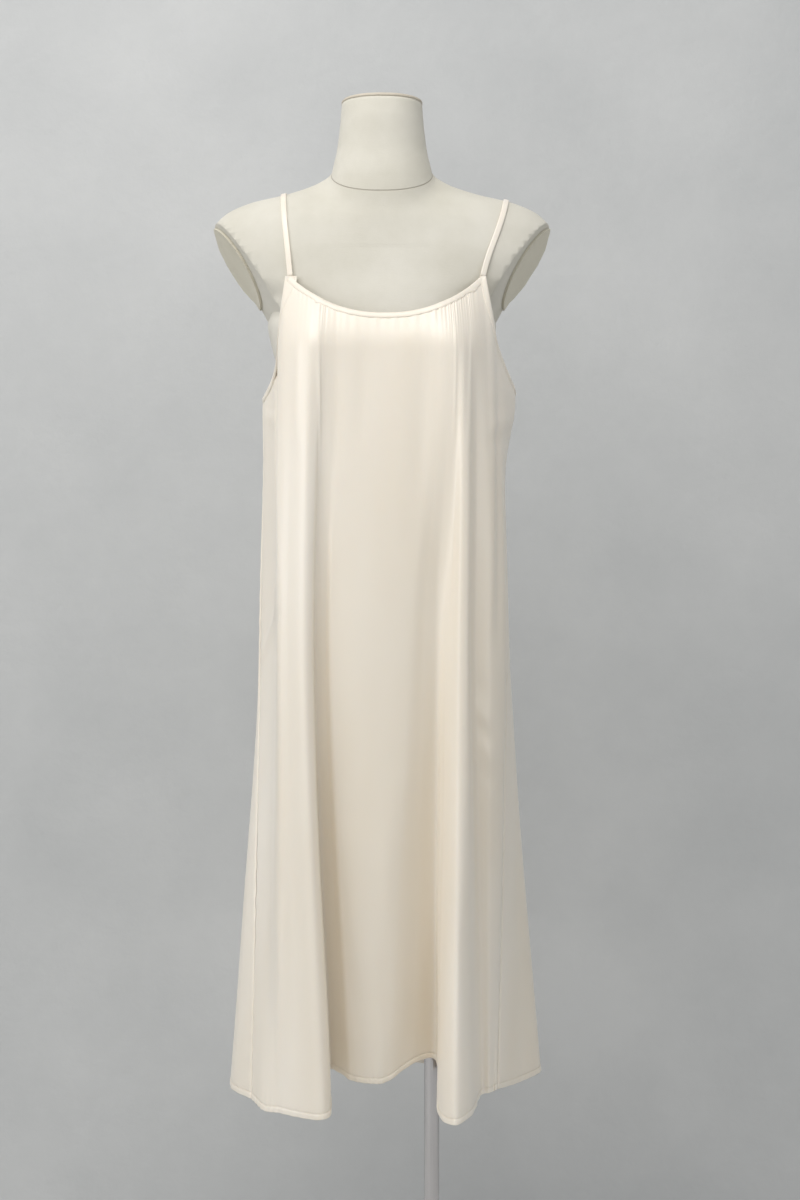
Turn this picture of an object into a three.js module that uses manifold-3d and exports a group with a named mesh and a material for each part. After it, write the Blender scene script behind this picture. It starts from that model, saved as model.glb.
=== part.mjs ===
// A slip midi dress in satin, worn by a limbless dress form on a pole and a round base.
// Millimetres, +Z up. The origin is the centre of the base's underside, straight below the neck.
// The form faces -Y, so +X is the wearer's left.
//
// The cloth is one closed tube around the form, described by guide lines that run down it: one row
// of FOLDS for each crest and each valley. A point of the tube has two coordinates: `along`, the way
// round the tube, which is about the cloth's own width, and `level`, the height that the point has
// where the hem hangs at HEM_LEVEL. The front and the back are two walls cut out of that tube.
import * as THREE from "three";
import { mergeVertices } from "three/addons/utils/BufferGeometryUtils.js";
import Module from "manifold-3d";

const wasm = await Module();
wasm.setup();

// ---------------------------------------------------------------- driving dimensions

const WALL = 1.5; // thickness of a panel
const SEAM_GAP = 0.3; // between two pieces that are sewn together
const CHEST_LEVEL = 1365;
const BUST_LEVEL = 1268;
const HIP_LEVEL = 930;
const HEM_LEVEL = 364;
const EASE = 5.5; // from the form to the outside of the cloth, where it lies on the chest or back

const BINDING = { width: 7, leg: 0.9, clearance: 0.5 };
const STRAP = { width: 7, thickness: 1.6, lift: 0.6, settles: 45, stations: 30 };

const POLE = { x: 62, radius: 9.5 };
const BASE = { radius: 160, height: 8, bevel: 1.5 };
const COLLAR = { radius: 20, height: 34 };
const FLANGE = { radius: 36, height: 8 };
const FORM_BOTTOM = 800;
const FORM_TOP = 1592;
const CAP_HEIGHT = 3;
const FORM_SIDES = 40;
const PLATE_SIDES = 40;
const BOTTOM_ROUNDING = 6;
const ARM_PLATE = { point: [183, 22, 1386], normal: [0.828, -0.23, -0.512], thickness: 3, radius: 59 };
const NECK_SEAM = { point: [0, 0, 1505], normal: [0, -0.49, 0.872] };

function table(columns, rows) {
  const names = columns.split(" ");
  return rows.map((row) => Object.fromEntries(names.map((name, i) => [name, row[i]])));
}

// The guide lines of the cloth, anticlockwise from the wearer's right side seam, seen from above:
// their places in plan at the bust, at the hip and at the hem, and the height of the hem there.
const FOLDS = table("name bustX bustY hipX hipY hemX hemY hemZ", [
  ["right_seam", -144, 8, -153, 8, -158, -83, 367],
  ["right_side_valley", -129, -50, -131, -47, -139, -122, 363],
  ["right_panel_edge", -122, -98, -124, -115, -119, -138, 364],
  ["right_lobe_face", -105, -118, -110, -127, -97, -153, 363],
  ["right_lobe_crest", -86, -129, -90, -141, -68, -173, 365],
  ["right_lobe_edge", -76, -129, -81, -134, -57, -159, 370],
  ["right_valley", -66, -127, -79, -115, -63, -92, 404],
  ["centre_right_face", -54, -125, -67, -116, -49, -99, 402],
  ["centre_right_crease", -43, -124, -59, -122, -37, -112, 397],
  ["centre_crest", -2, -122, -13, -126, -11, -118, 394],
  ["centre_left_crease", 56, -124, 34, -122, 9, -112, 396],
  ["centre_left_face", 74, -126, 52, -113, 41, -88, 412],
  ["left_valley", 84, -126, 67, -108, 66, -66, 409],
  ["left_lobe_back", 91, -125, 80, -118, 67, -128, 363],
  ["left_lobe_crest", 98, -122, 93, -133, 86, -174, 359],
  ["left_lobe_edge", 105, -117, 104, -130, 106, -149, 364],
  ["left_side_valley", 114, -109, 112, -108, 121, -60, 366],
  ["left_side_swell", 126, -94, 132, -99, 131, -57, 368],
  ["left_panel_edge", 141, -68, 149, -72, 137, -49, 368],
  ["left_seam", 148, -5, 154, -38, 143, -43, 369],
  ["left_flare_face", 147, 22, 159, 2, 173, 10, 365],
  ["left_flare_edge", 138, 48, 157, 46, 203, 68, 365],
  ["back_left_turn", 119, 74, 137, 86, 190, 118, 362],
  ["back_left_valley", 91, 91, 106, 96, 152, 127, 360],
  ["back_left_lobe", 62, 98, 74, 115, 118, 158, 358],
  ["back_left_hollow", 30, 101, 40, 108, 84, 129, 357],
  ["back_middle_lobe", 4, 102, 8, 120, 42, 151, 357],
  ["back_middle_hollow", -24, 101, -22, 109, 4, 127, 357],
  ["back_right_lobe", -54, 99, -56, 117, -38, 160, 357],
  ["back_right_hollow", -82, 93, -88, 103, -78, 130, 359],
  ["back_right_swell", -106, 81, -112, 104, -112, 149, 361],
  ["back_right_valley", -124, 64, -131, 80, -146, 111, 363],
  ["back_right_turn", -137, 44, -146, 62, -176, 96, 365],
  ["right_flare_edge", -143, 28, -153, 34, -189, 35, 366],
  ["right_flare_face", -144, 18, -153, 20, -185, -28, 366],
]);
const rowNumber = (name) => FOLDS.findIndex((fold) => fold.name === name);

// Soft dents and swells that one place of the cloth has: how far the middle stands out, where it
// lies round the tube beside a guide line, its level, and its reach each way.
const SWELLS = table("beside offset level reachAlong reachLevel out", [
  ["left_seam", 0, 1222, 26, 62, 17],
  ["right_seam", 0, 1216, 26, 50, 3],
]);

// Where the panels' upper edges run: each armhole curves from the top of a side seam to a strap.
const ARMHOLES = table("seam underLevel strapX strapLevel", [
  ["right_seam", 1222, -116, 1363],
  ["left_seam", 1229, 126, 1363],
  ["left_seam", 1229, 98, 1325],
  ["right_seam", 1222, -92, 1325],
]);
const [FRONT_RIGHT_ARMHOLE, FRONT_LEFT_ARMHOLE, BACK_LEFT_ARMHOLE, BACK_RIGHT_ARMHOLE] = ARMHOLES;
const ARMHOLE_BEND = { along: 0.75, up: 0.25 }; // shares of its width and height where its tangents meet
const NECKLINE = { front: { middleX: 5, level: 1313 }, back: { middleX: 3, level: 1288 }, power: 2.3 };

// The form's horizontal sections: half width, and how far it reaches forwards and backwards.
const TORSO = table("z half front back", [
  [800, 124, 82, 86],
  [850, 134, 87, 92],
  [930, 135, 87, 92],
  [1000, 126, 82, 84],
  [1080, 113, 76, 72],
  [1150, 116, 84, 74],
  [1210, 122, 97, 80],
  [1262, 129, 106, 86],
  [1292, 138, 101, 89],
  [1311, 145, 97, 90],
  [1339, 158, 90, 90],
  [1365, 195, 82, 88],
  [1400, 222, 74, 82],
  [1425, 217, 67, 75],
  [1438, 208, 62, 70],
  [1452, 193, 53, 61],
  [1464, 166, 43, 52],
  [1475, 121, 32, 40],
  [1486, 86, 22, 28],
  [1494, 66, 12, 16],
  [1503, 40, 5, 6],
]);
// Below the arm plates the sides close inwards as far as this, not out into the shoulders.
const SIDES_UNDER_PLATES = table("z half front back", [
  [1292, 138, 101, 89],
  [1311, 142, 96, 88],
  [1325, 138, 88, 80],
  [1337, 124, 76, 66],
  [1345, 98, 60, 45],
]);
const NECK = table("z half front back", [
  [1400, 46, 46, 56],
  [1440, 62, 60, 68],
  [1470, 67, 64, 70],
  [1490, 65, 62, 68],
  [1505, 62, 59, 65],
  [1514, 60, 57, 62],
  [1526, 57, 55, 59],
  [1539, 55, 54, 56],
  [1564, 52, 53, 51],
  [1577, 51, 51, 49],
  [1588, 50, 49, 48],
  [1592, 47, 46, 45],
]);
const SECTION_POWER = 2.25; // 2 is an ellipse, more is squarer
const JOIN_POWER = 6; // how tightly the neck flows into the shoulders
const BUST = { x: 78, z: 1258, reach: 44, out: 11 };

// ---------------------------------------------------------------- curves

// A monotone cubic through the points (xs, ys), with xs rising.
function monotone(xs, ys) {
  const n = xs.length;
  const step = xs.slice(1).map((x, i) => x - xs[i]);
  const slope = step.map((h, i) => (ys[i + 1] - ys[i]) / h);
  const tangent = ys.map((_, i) => {
    if (i === 0) return slope[0];
    if (i === n - 1) return slope[n - 2];
    if (slope[i - 1] * slope[i] <= 0) return 0;
    const before = 2 * step[i] + step[i - 1];
    const after = step[i] + 2 * step[i - 1];
    return (before + after) / (before / slope[i - 1] + after / slope[i]);
  });
  return (x) => {
    let i = xs.findIndex((knot) => knot > x) - 1;
    if (i === -2) i = n - 2;
    i = Math.max(i, 0);
    const t = (Math.min(Math.max(x, xs[0]), xs[n - 1]) - xs[i]) / step[i];
    return (
      ys[i] * (1 + 2 * t) * (1 - t) ** 2 +
      step[i] * tangent[i] * t * (1 - t) ** 2 +
      ys[i + 1] * t * t * (3 - 2 * t) +
      step[i] * tangent[i + 1] * t * t * (t - 1)
    );
  };
}

const mix = (a, b, t) => a + (b - a) * t;
const columnCurve = (rows, column) =>
  monotone(
    rows.map((row) => row.z),
    rows.map((row) => row[column]),
  );

// ---------------------------------------------------------------- the form's surface

const sectionCurves = (rows) => ({
  first: rows[0].z,
  last: rows.at(-1).z,
  half: columnCurve(rows, "half"),
  front: columnCurve(rows, "front"),
  back: columnCurve(rows, "back"),
});
const torsoCurves = sectionCurves(TORSO);
const neckCurves = sectionCurves(NECK);
const innerCurves = sectionCurves([...TORSO.filter(({ z }) => z < SIDES_UNDER_PLATES[0].z), ...SIDES_UNDER_PLATES]);

// How far a squared ellipse reaches at an angle from straight ahead.
function sectionReach(curves, z, angle) {
  if (z < curves.first || z > curves.last) return 0;
  const across = Math.abs(Math.sin(angle)) / curves.half(z);
  const depth = Math.cos(angle) > 0 ? curves.front(z) : curves.back(z);
  const ahead = Math.abs(Math.cos(angle)) / depth;
  return (across ** SECTION_POWER + ahead ** SECTION_POWER) ** (-1 / SECTION_POWER);
}

function formReach(z, angle, curves = torsoCurves) {
  const torso = sectionReach(curves, z, angle);
  const neck = sectionReach(neckCurves, z, angle);
  const reach = (torso ** JOIN_POWER + neck ** JOIN_POWER) ** (1 / JOIN_POWER);
  if (Math.cos(angle) <= 0) return reach;
  const besideBust = Math.hypot(Math.abs(reach * Math.sin(angle)) - BUST.x, z - BUST.z) / BUST.reach;
  return reach + BUST.out * Math.exp(-(besideBust ** 2));
}

// The place of the form's surface, straight ahead of or behind the point x, grown by a margin.
function formDepth(x, z, ahead, margin) {
  let inside = 0;
  let outside = 400;
  for (let i = 0; i < 30; i++) {
    const depth = (inside + outside) / 2;
    const angle = Math.atan2(x, ahead ? depth : -depth);
    if (Math.hypot(x, depth) < formReach(z, angle) + margin) inside = depth;
    else outside = depth;
  }
  return ahead ? -inside : inside;
}

// ---------------------------------------------------------------- the cloth's surface

// The guide lines' chest points lie on the form, eased: the cloth hangs from there.
for (const fold of FOLDS) {
  const ahead = fold.bustY < 0;
  fold.chestX = fold.bustX * 0.95;
  fold.chestY = Math.abs(fold.bustX) < 132 ? formDepth(fold.chestX, CHEST_LEVEL, ahead, EASE) : fold.bustY;
}

const LEVELS = [HEM_LEVEL, HIP_LEVEL, BUST_LEVEL, CHEST_LEVEL];
const guides = FOLDS.map((fold) => ({
  x: monotone(LEVELS, [fold.hemX, fold.hipX, fold.bustX, fold.chestX]),
  y: monotone(LEVELS, [fold.hemY, fold.hipY, fold.bustY, fold.chestY]),
  drop: (HIP_LEVEL - fold.hemZ) / (HIP_LEVEL - HEM_LEVEL),
}));

// The distance between neighbouring guide lines round the tube, as the mean of three levels.
const spans = FOLDS.map((fold, i) => {
  const next = FOLDS[(i + 1) % FOLDS.length];
  const across = (part) => Math.hypot(next[part + "X"] - fold[part + "X"], next[part + "Y"] - fold[part + "Y"]);
  return (across("bust") + across("hip") + across("hem")) / 3;
});
const starts = spans.reduce((sums, span) => [...sums, sums.at(-1) + span], [0]);
const GIRTH = starts.at(-1);
const alongOf = (name) => starts[rowNumber(name)];

const guidePoint = (i, level) => {
  const guide = guides[(i + guides.length) % guides.length];
  const below = Math.min(level - HIP_LEVEL, 0) * guide.drop;
  return new THREE.Vector3(guide.x(level), guide.y(level), Math.max(level, HIP_LEVEL) + below);
};
const guideStart = (i) => starts[(i + guides.length) % guides.length] + GIRTH * Math.floor(i / guides.length);

// The smooth tube through the guide lines: a cubic from each to the next.
function tubePoint(along, level) {
  const wrapped = ((along % GIRTH) + GIRTH) % GIRTH;
  const i = Math.max(starts.findIndex((start) => start > wrapped) - 1, 0);
  const points = [-1, 0, 1, 2].map((k) => guidePoint(i + k, level));
  const knots = [-1, 0, 1, 2].map((k) => guideStart(i + k));
  const span = knots[2] - knots[1];
  const leaving = points[2].clone().sub(points[0]).multiplyScalar(span / (knots[2] - knots[0]));
  const arriving = points[3].clone().sub(points[1]).multiplyScalar(span / (knots[3] - knots[1]));
  const t = (wrapped - knots[1]) / span;
  return points[1]
    .multiplyScalar((1 + 2 * t) * (1 - t) ** 2)
    .addScaledVector(leaving, t * (1 - t) ** 2)
    .addScaledVector(points[2], t * t * (3 - 2 * t))
    .addScaledVector(arriving, t * t * (t - 1));
}

function outwards(along, level) {
  const reach = 2.5;
  const round = tubePoint(along + reach, level).sub(tubePoint(along - reach, level));
  const up = tubePoint(along, level + reach).sub(tubePoint(along, level - reach));
  return round.cross(up).normalize();
}

function swellAt(along, level) {
  return SWELLS.reduce((sum, swell) => {
    const from = along - alongOf(swell.beside) - swell.offset;
    const round = (from - GIRTH * Math.round(from / GIRTH)) / swell.reachAlong;
    const rise = (level - swell.level) / swell.reachLevel;
    return sum + swell.out * Math.exp(-round * round - rise * rise);
  }, 0);
}

// A point of the cloth, `depth` below its outer face.
function clothPoint(along, level, depth = 0) {
  return tubePoint(along, level).addScaledVector(outwards(along, level), swellAt(along, level) - depth);
}

// ---------------------------------------------------------------- the panels' outlines

// Where the cloth crosses the upright plane x at a level, between two places round the tube.
function alongAt(x, level, from, to) {
  let [near, far] = [from, to];
  for (let i = 0; i < 30; i++) {
    const middle = (near + far) / 2;
    if (clothPoint(middle, level).x > x === clothPoint(from, level).x > x) near = middle;
    else far = middle;
  }
  return near;
}

function makePanel(from, to, start, end, neckline) {
  const middle = alongAt(neckline.middleX, neckline.level, start, end);
  const panel = { from, to, start, end, neckline };
  panel.firstStrap = alongAt(from.strapX, from.strapLevel, middle, start);
  panel.lastStrap = alongAt(to.strapX, to.strapLevel, middle, end);
  panel.halfWidth = Math.abs(to.strapX - from.strapX) / 2;
  return panel;
}
const PANELS = {
  front: makePanel(
    FRONT_RIGHT_ARMHOLE,
    FRONT_LEFT_ARMHOLE,
    alongOf("right_seam"),
    alongOf("left_seam"),
    NECKLINE.front,
  ),
  back: makePanel(BACK_LEFT_ARMHOLE, BACK_RIGHT_ARMHOLE, alongOf("left_seam"), GIRTH, NECKLINE.back),
};

// A place on an armhole: share 0 is at the side seam, share 1 at the strap.
function armholePlace(armhole, seamAlong, strapAlong, share) {
  const bend = 2 * share * (1 - share);
  return {
    along: mix(seamAlong, strapAlong, bend * ARMHOLE_BEND.along + share * share),
    level: mix(armhole.underLevel, armhole.strapLevel, bend * ARMHOLE_BEND.up + share * share),
  };
}

// The neckline dips from strap to strap.
function necklineLevel(panel, along) {
  const away = Math.abs(clothPoint(along, panel.neckline.level).x - panel.neckline.middleX) / panel.halfWidth;
  return mix(panel.neckline.level, panel.from.strapLevel, Math.min(away, 1) ** NECKLINE.power);
}

// A place on a panel's bodice: share 1 is the neckline, and share 0 runs from underarm to underarm,
// lower between them, so that its ends leave the armholes squarely.
function bodicePlace(panel, across, share) {
  const first = armholePlace(panel.from, panel.start, panel.firstStrap, share);
  const last = armholePlace(panel.to, panel.end, panel.lastStrap, share);
  const along = mix(first.along, last.along, across);
  const toEdge = Math.min(across, 1 - across) * (last.along - first.along);
  const inFrom = 1 - (1 - Math.min(toEdge / DIP.reach, 1)) ** 2;
  const level = mix(first.level, last.level, across) - DIP.depth * inFrom * (1 - share);
  const strapLevel = mix(panel.from.strapLevel, panel.to.strapLevel, across);
  return { along, level: level - (strapLevel - necklineLevel(panel, along)) * share * share };
}

function skirtPlace(panel, across, level) {
  return { along: mix(panel.start, panel.end, across), level };
}

// Shares across a panel: a narrow column at each side, one on every guide line between, and more
// between distant ones.
function columnsOf(panel) {
  const [inner, outer] = [panel.start + SIDE_COLUMN, panel.end - SIDE_COLUMN];
  const stops = [inner, ...starts.filter((start) => start > inner + 5 && start < outer - 5), outer];
  const columns = stops.slice(1).flatMap((stop, i) => {
    const pieces = Math.max(1, Math.round((stop - stops[i]) / WIDEST_COLUMN));
    return Array.from({ length: pieces }, (_, k) => mix(stops[i], stop, k / pieces));
  });
  return [panel.start, ...columns, outer, panel.end].map((along) => (along - panel.start) / (panel.end - panel.start));
}

// ---------------------------------------------------------------- solids from points

// A closed wall from two grids of points that face outwards and inwards.
function wallGeometry(outer, inner) {
  const rows = outer.length;
  const columns = outer[0].length;
  const positions = [...outer.flat(), ...inner.flat()].flatMap((point) => point.toArray());
  const at = (side, j, i) => side * rows * columns + j * columns + i;
  const triangles = [];
  const quad = (a, b, c, d) => triangles.push(a, b, c, a, c, d);
  for (let j = 0; j + 1 < rows; j++)
    for (let i = 0; i + 1 < columns; i++) {
      quad(at(0, j, i), at(0, j + 1, i), at(0, j + 1, i + 1), at(0, j, i + 1));
      quad(at(1, j, i), at(1, j, i + 1), at(1, j + 1, i + 1), at(1, j + 1, i));
    }
  for (let i = 0; i + 1 < columns; i++) {
    quad(at(0, 0, i), at(0, 0, i + 1), at(1, 0, i + 1), at(1, 0, i));
    quad(at(0, rows - 1, i + 1), at(0, rows - 1, i), at(1, rows - 1, i), at(1, rows - 1, i + 1));
  }
  for (let j = 0; j + 1 < rows; j++) {
    quad(at(0, j + 1, 0), at(0, j, 0), at(1, j, 0), at(1, j + 1, 0));
    quad(at(0, j, columns - 1), at(0, j + 1, columns - 1), at(1, j + 1, columns - 1), at(1, j, columns - 1));
  }
  return indexed(positions, triangles);
}

function indexed(positions, triangles) {
  const geometry = new THREE.BufferGeometry();
  geometry.setAttribute("position", new THREE.Float32BufferAttribute(positions, 3));
  geometry.setIndex(triangles);
  return geometry;
}

// A closed bar whose cross-section, given at each station, runs anticlockwise about the way ahead.
// `otherDiagonal` tells which sides' squares are halved the other way.
function barGeometry(stations, outline, otherDiagonal = () => false) {
  const sides = outline.length;
  const last = (stations.length - 1) * sides;
  const triangles = [];
  for (let j = 0; j + 1 < stations.length; j++)
    for (let i = 0; i < sides; i++) {
      const [a, b] = [j * sides + i, j * sides + ((i + 1) % sides)];
      if (otherDiagonal(i)) triangles.push(a, b, a + sides, b, b + sides, a + sides);
      else triangles.push(a, b, b + sides, a, b + sides, a + sides);
    }
  for (const [a, b, c] of THREE.ShapeUtils.triangulateShape(outline, []))
    triangles.push(c, b, a, last + a, last + b, last + c);
  return indexed(
    stations.flat().flatMap((point) => point.toArray()),
    triangles,
  );
}

function toSolid(geometry) {
  const bare = geometry.clone();
  for (const name of Object.keys(bare.attributes)) if (name !== "position") bare.deleteAttribute(name);
  const merged = mergeVertices(bare, 1e-3);
  return new wasm.Manifold(
    new wasm.Mesh({
      numProp: 3,
      vertProperties: merged.attributes.position.array,
      triVerts: new Uint32Array(merged.index.array),
    }),
  );
}

function fromSolid(solid) {
  const mesh = solid.getMesh();
  return indexed(Array.from(mesh.vertProperties), Array.from(mesh.triVerts));
}

function largestBody(solid) {
  return solid.decompose().reduce((best, body) => (body.volume() > best.volume() ? body : best));
}

// The part of a solid on the far side of a plane, `beyond` past it.
function beyondPlane(solid, plane, beyond) {
  const normal = new THREE.Vector3(...plane.normal).normalize();
  return solid.trimByPlane(normal.toArray(), normal.dot(new THREE.Vector3(...plane.point)) + beyond);
}
const reversed = (plane) => ({ point: plane.point, normal: plane.normal.map((n) => -n) });
const mirrored = ({ point: [x, ...point], normal: [across, ...normal], ...rest }) => ({
  ...rest,
  point: [-x, ...point],
  normal: [-across, ...normal],
});

// ---------------------------------------------------------------- the dress

const SIDE_COLUMN = 11; // the first column of a panel, wider than a binding
const WIDEST_COLUMN = 22;
const DIP = { depth: 24, reach: 35 };
const NECK_BINDING_INSET = 5.5; // from the first column to its end, which keeps off the arm bindings
const BODICE_SHARES = [1, 0.9, 0.78, 0.64, 0.5, 0.36, 0.22, 0.1, 0];
const SKIRT_LEVELS = [1160, 1080, 1000, 930, 800, 660, 510, 364];

// The points of a panel's two faces, row by row from its upper edge.
function panelGrids(panel) {
  const columns = columnsOf(panel);
  const rows = [
    ...BODICE_SHARES.map((share) => columns.map((across) => bodicePlace(panel, across, share))),
    ...SKIRT_LEVELS.map((level) => columns.map((across) => skirtPlace(panel, across, level))),
  ];
  // A positive margin grows the wall on all its sides.
  const grid = (depth, margin) => {
    const points = rows.map((row) => row.map(({ along, level }) => clothPoint(along, level, depth)));
    const moved = (edge, next, distance) => edge.add(next.clone().sub(edge).setLength(distance));
    for (const row of points) {
      moved(row[0], row[1], SEAM_GAP / 2 - margin);
      moved(row.at(-1), row.at(-2), SEAM_GAP / 2 - margin);
    }
    if (margin) points[0].forEach((point, i) => moved(point, points[1][i], -margin));
    return points;
  };
  const clearance = wallGeometry(grid(-SEAM_GAP, SEAM_GAP), grid(WALL + SEAM_GAP, SEAM_GAP));
  return { outer: grid(0, 0), inner: grid(WALL, 0), clearance: toSolid(clearance) };
}

// A binding is a folded strip that closes over a panel's edge, outside and inside. Each of its
// stations lies on a line of the panel's points: the one on the edge, and the next one in.
function bindingStation({ outerEdge, outerNext, innerEdge, innerNext }, ahead) {
  const across = outerNext.clone().sub(outerEdge).normalize();
  const reach = BINDING.width / across.clone().cross(ahead).length();
  const outerLeg = outerEdge.clone().addScaledVector(across, reach);
  const share = reach / outerNext.distanceTo(outerEdge);
  const innerLeg = innerEdge.clone().lerp(innerNext, share);
  const atEdge = outerEdge.clone().sub(innerEdge).normalize();
  const atLeg = outerLeg.clone().sub(innerLeg).normalize();
  const point = (from, normal, out, beyond) =>
    from.clone().addScaledVector(normal, out).addScaledVector(across, -beyond);
  const [near, far] = [BINDING.clearance, BINDING.clearance + BINDING.leg];
  return [
    point(outerEdge, atEdge, far, far),
    point(outerLeg, atLeg, far, 0),
    point(outerLeg, atLeg, near, 0),
    point(outerEdge, atEdge, near, near),
    point(innerEdge, atEdge, -near, near),
    point(innerLeg, atLeg, -near, 0),
    point(innerLeg, atLeg, -far, 0),
    point(innerEdge, atEdge, -far, far),
  ];
}
const BINDING_OUTLINE = [
  [1, 0],
  [1, 3],
  [0.5, 3],
  [0.5, 0.5],
  [-0.5, 0.5],
  [-0.5, 3],
  [-1, 3],
  [-1, 0],
].map(([out, into]) => new THREE.Vector2(out, into));

const lineOf = (grids, [edgeRow, edgeColumn], [nextRow, nextColumn]) => ({
  outerEdge: grids.outer.at(edgeRow).at(edgeColumn),
  outerNext: grids.outer.at(nextRow).at(nextColumn),
  innerEdge: grids.inner.at(edgeRow).at(edgeColumn),
  innerNext: grids.inner.at(nextRow).at(nextColumn),
});

const between = (one, other, share) =>
  Object.fromEntries(Object.keys(one).map((name) => [name, one[name].clone().lerp(other[name], share)]));

// Follows lines of the panels' points, with the panel on the right of the way ahead.
function bindingStations(lines) {
  return lines.map((line, k) => {
    const [before, after] = [lines[Math.max(k - 1, 0)], lines[Math.min(k + 1, lines.length - 1)]];
    return bindingStation(line, after.outerEdge.clone().sub(before.outerEdge).normalize());
  });
}

function neckStations(grids) {
  const last = grids.outer[0].length - 1;
  const lines = shares(last - 2, 1, last - 1).map((i) => lineOf(grids, [0, i], [1, i]));
  const inset = (end, next) => between(end, next, NECK_BINDING_INSET / end.outerEdge.distanceTo(next.outerEdge));
  const middle = lines.slice(1, -1);
  return bindingStations([inset(lines[0], middle[0]), ...middle, inset(lines.at(-1), middle.at(-1))]);
}

// Down the last column of one panel to the underarm, and up the first column of the next.
function armStations(downGrids, upGrids) {
  const under = BODICE_SHARES.length - 1;
  const down = shares(under, 0, under).map((j) => lineOf(downGrids, [j, -1], [j, -2]));
  const up = shares(under, under, 0).map((j) => lineOf(upGrids, [j, 0], [j, 1]));
  const sides = [lineOf(downGrids, [under, -1], [under + 1, -1]), lineOf(upGrids, [under, 0], [under + 1, 0])];
  return bindingStations([...down, between(...sides, 0.5), ...up]);
}

const shares = (count, from, to) => Array.from({ length: count + 1 }, (_, k) => mix(from, to, k / count));

// The squares of a binding's faces are halved the same way as the panel's squares beneath them.
const bindingGeometry = (stations, otherDiagonal) => {
  const whole = toSolid(barGeometry(stations, BINDING_OUTLINE, otherDiagonal));
  const clear = whole.subtract(front.clearance).subtract(back.clearance);
  return fromSolid(largestBody(clear));
};
const neckBinding = (stations) => bindingGeometry(stations, (side) => side % 4 === 2);
const armBinding = (stations) => bindingGeometry(stations, (side) => side % 4 === 0);

// ---------------------------------------------------------------- straps

const STRAPS = { right: { shoulderX: -122 }, left: { shoulderX: 155 } };
const STRAP_PIVOT = 1385; // height of the point that a strap's stations turn about

// The form's outside in the plane x, in a direction that turns from straight ahead, over, to behind.
function overShoulder(x, turn) {
  let inside = 0;
  let outside = 150;
  for (let i = 0; i < 30; i++) {
    const reach = (inside + outside) / 2;
    const [y, z] = [-reach * Math.cos(turn), STRAP_PIVOT + reach * Math.sin(turn)];
    if (z < torsoCurves.last && Math.hypot(x, y) < formReach(z, Math.atan2(x, -y))) inside = reach;
    else outside = reach;
  }
  return new THREE.Vector3(x, -inside * Math.cos(turn), STRAP_PIVOT + inside * Math.sin(turn));
}

// The end of an arm binding: its middle, the way across it towards the neck, and out of the cloth.
function strapJoint(station, nextStation) {
  const [outerTip, outerLeg] = station;
  const innerTip = station.at(-1);
  const middle = outerTip.clone().lerp(innerTip, 0.5);
  const legs = outerLeg.clone().lerp(station.at(-2), 0.5);
  const nextMiddle = nextStation[0].clone().lerp(nextStation.at(-1), 0.5);
  return {
    middle: middle.clone().lerp(legs, 0.5),
    towardsNeck: legs.clone().sub(middle).normalize(),
    ahead: middle.clone().sub(nextMiddle).normalize(),
  };
}

function strapGeometry(strap, frontJoint, backJoint) {
  const turnOf = ({ middle }) => (Math.atan2(middle.z - STRAP_PIVOT, -middle.y) + 2 * Math.PI) % (2 * Math.PI);
  const frontTurn = turnOf(frontJoint) > Math.PI ? turnOf(frontJoint) - 2 * Math.PI : turnOf(frontJoint);
  const backTurn = turnOf(backJoint);
  const placeX = monotone([frontTurn, Math.PI / 2, backTurn], [frontJoint.middle.x, strap.shoulderX, backJoint.middle.x]);
  const surface = shares(120, frontTurn, backTurn).map((turn) => overShoulder(placeX(turn), turn));
  const distances = surface.slice(1).reduce((sums, point, k) => [...sums, sums.at(-1) + point.distanceTo(surface[k])], [0]);
  const length = distances.at(-1);
  const turnAt = monotone(distances, shares(120, frontTurn, backTurn));
  const pointAt = (distance, aside = 0) => overShoulder(placeX(turnAt(distance)) + aside, turnAt(distance));
  const frames = shares(STRAP.stations, 0, length).map((distance) => {
    const point = pointAt(distance);
    const ahead = pointAt(Math.min(distance + 4, length)).sub(pointAt(Math.max(distance - 4, 0))).normalize();
    const beside = pointAt(distance, -4).sub(pointAt(distance, 4));
    beside.addScaledVector(ahead, -beside.dot(ahead)).normalize();
    const out = ahead.clone().cross(beside).normalize();
    return { point, ahead, beside, out, distance };
  });
  const liftOf = (frame, joint) => joint.middle.clone().sub(frame.point).dot(frame.out);
  const resting = STRAP.lift + STRAP.thickness / 2;
  const ends = { front: liftOf(frames[0], frontJoint), back: liftOf(frames.at(-1), backJoint) };
  const eased = (distance) => (1 - Math.min(distance / STRAP.settles, 1)) ** 2;
  const half = [STRAP.width / 2, STRAP.thickness / 2];
  const corners = STRAP_OUTLINE.map(({ x, y }) => [x * half[0], y * half[1]]);
  const stations = frames.map(({ point, beside, out, distance }) => {
    const [fromFront, fromBack] = [eased(distance), eased(length - distance)];
    const lift = resting + (ends.front - resting) * fromFront + (ends.back - resting) * fromBack;
    const centre = point.clone().addScaledVector(out, lift);
    return corners.map(([x, y]) => centre.clone().addScaledVector(beside, x).addScaledVector(out, y));
  });
  // Each end is cut along the binding that it meets.
  const cut = (station, joint, side) =>
    station.forEach((point) => {
      const across = point.clone().sub(joint.middle).dot(joint.towardsNeck);
      const out = joint.ahead.clone().cross(joint.towardsNeck).multiplyScalar(side).normalize();
      const up = point.clone().sub(joint.middle).dot(out);
      point.copy(joint.middle).addScaledVector(joint.ahead, 2 * SEAM_GAP);
      point.addScaledVector(joint.towardsNeck, across).addScaledVector(out, up);
    });
  cut(stations[0], frontJoint, 1);
  cut(stations.at(-1), backJoint, 1);
  return barGeometry(stations, STRAP_OUTLINE);
}
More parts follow.
